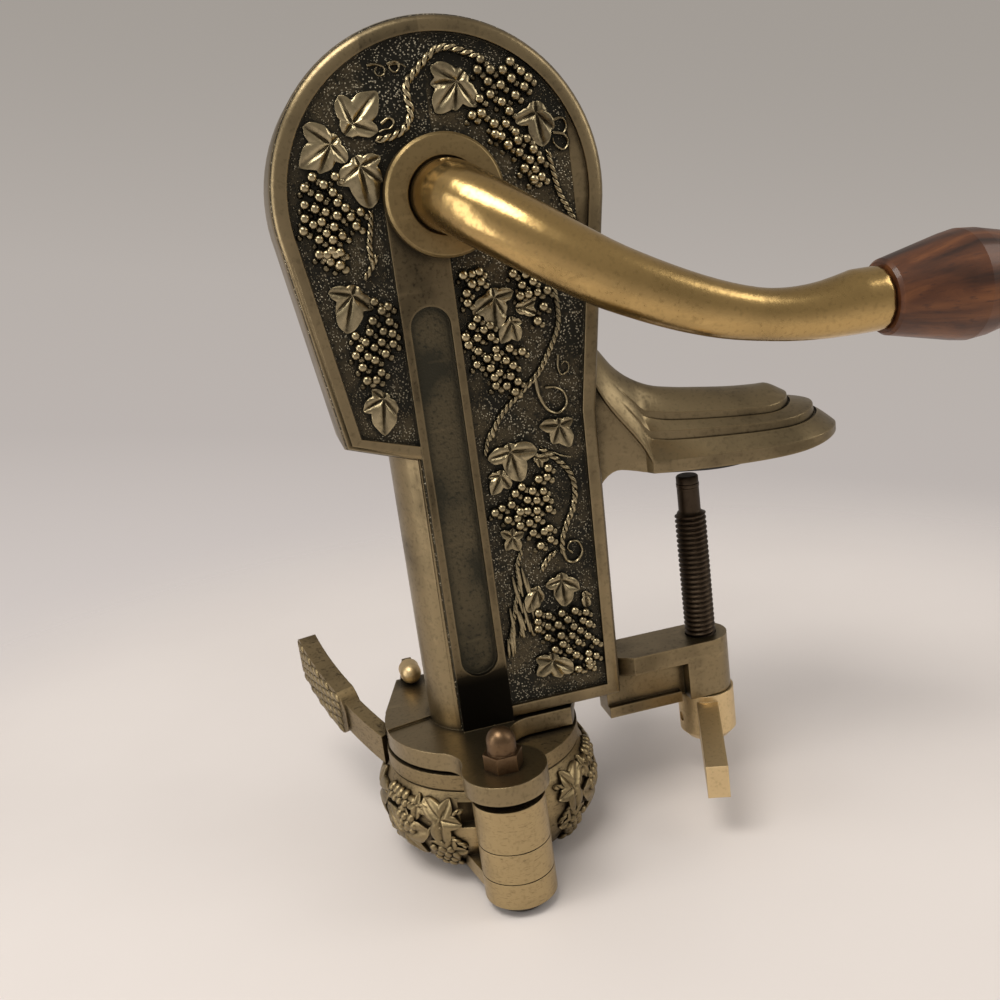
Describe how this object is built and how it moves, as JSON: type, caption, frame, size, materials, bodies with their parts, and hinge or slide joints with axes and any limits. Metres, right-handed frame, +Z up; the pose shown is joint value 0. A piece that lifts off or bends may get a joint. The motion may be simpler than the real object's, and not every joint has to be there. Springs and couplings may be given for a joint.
{
  "type": "table mounted wine opener",
  "caption": "Lever wine opener in antique brass that clamps to a table, with grapevine relief, a wooden grip, a screw clamp and hinged bottle jaws.",
  "frame": {"origin": "middle of the clamping face under the upper table jaw, on the clamp screw's axis", "axes": "+X from the housing towards the table, +Y away from the user who faces the relief, +Z up along the column"},
  "size_m": [0.2511, 0.1366, 0.2341],
  "materials": {
    "antique_brass": "cast brass with dark patina, raised edges rubbed bright",
    "jaw_brass": "cast brass with dark patina",
    "worn_brass": "golden brass rubbed smooth, with dark specks",
    "nut_bronze": "brown bronze, satin",
    "bushing_brass": "plain machined brass",
    "dark_steel": "blackened, oiled steel",
    "bright_steel": "ground steel",
    "grey_iron": "bare cast iron",
    "black_rubber": "matt black rubber",
    "red_wood": "turned hardwood, glossy red-brown varnish"
  },
  "bodies": {
    "opener_body": {"body_casting": "antique_brass", "rear_cover": "antique_brass", "cover_screws": "dark_steel", "front_bushing": "antique_brass", "bushing_screws": "dark_steel", "worm_guide": "bushing_brass", "mouth_seat": "bushing_brass", "jaw_pad": "black_rubber", "hinge_bolt": "dark_steel", "hinge_washers": "dark_steel", "acorn_nut": "nut_bronze", "stop_knob": "worn_brass"},
    "handle": {"lever_arm": "worn_brass", "arm_pin": "dark_steel", "handle_shaft": "bright_steel", "crank_disc": "grey_iron", "crank_pin": "bright_steel", "crank_nut": "dark_steel", "grip_rod": "bright_steel", "grip_end_nut": "worn_brass"},
    "grip": {"wood_grip": "red_wood"},
    "plunger": {"carriage": "grey_iron", "connecting_rod": "grey_iron", "wrist_pin": "bright_steel"},
    "worm_spindle": {"spindle": "bright_steel", "spindle_collar": "dark_steel", "thrust_washers": "bright_steel", "worm": "bright_steel"},
    "left_bottle_jaw": {"left_jaw": "jaw_brass", "left_lining": "black_rubber"},
    "right_bottle_jaw": {"right_jaw": "jaw_brass", "right_lining": "black_rubber"},
    "clamp_point": {"point_ring": "dark_steel"},
    "clamp_spindle": {"clamp_screw": "dark_steel", "wing_lever": "worn_brass", "wing_pin": "dark_steel"}
  },
  "joints": [
    {"name": "handle_turn", "type": "hinge", "parent": "opener_body", "child": "handle", "pos_m": [-0.0652, -0.014, 0.0848], "axis": [0, -1, 0], "range_deg": [0, 180]},
    {"name": "grip_spin", "type": "hinge", "parent": "handle", "child": "grip", "pos_m": [0.0318, -0.056, 0.0468], "axis": [1, 0, 0], "continuous": true},
    {"name": "carriage_slide", "type": "slide", "parent": "opener_body", "child": "plunger", "axis": [0, 0, -1], "range_m": [0, 0.062]},
    {"name": "worm_spin", "type": "hinge", "parent": "plunger", "child": "worm_spindle", "pos_m": [-0.0732, 0, -0.0052], "axis": [0, 0, -1], "range_deg": [0, 2350]},
    {"name": "left_jaw_swing", "type": "hinge", "parent": "opener_body", "child": "left_bottle_jaw", "pos_m": [-0.0748, -0.038, -0.0852], "axis": [0, 0, 1], "range_deg": [0, 32]},
    {"name": "right_jaw_swing", "type": "hinge", "parent": "opener_body", "child": "right_bottle_jaw", "pos_m": [-0.0748, -0.038, -0.0852], "axis": [0, 0, -1], "range_deg": [0, 8]},
    {"name": "clamp_travel", "type": "slide", "parent": "opener_body", "child": "clamp_point", "axis": [0, 0, 1], "range_m": [-0.036, 0]},
    {"name": "clamp_turn", "type": "hinge", "parent": "clamp_point", "child": "clamp_spindle", "pos_m": [0, 0, -0.05], "axis": [0, 0, 1], "range_deg": [-8163, 0]}
  ],
  "couplings": [
    {"joint": "carriage_slide", "follows": "handle_turn", "m_per_rad": 0.019735},
    {"joint": "worm_spin", "follows": "handle_turn", "ratio": 13.053},
    {"joint": "clamp_travel", "follows": "clamp_turn", "m_per_rad": 0.00025266}
  ]
}
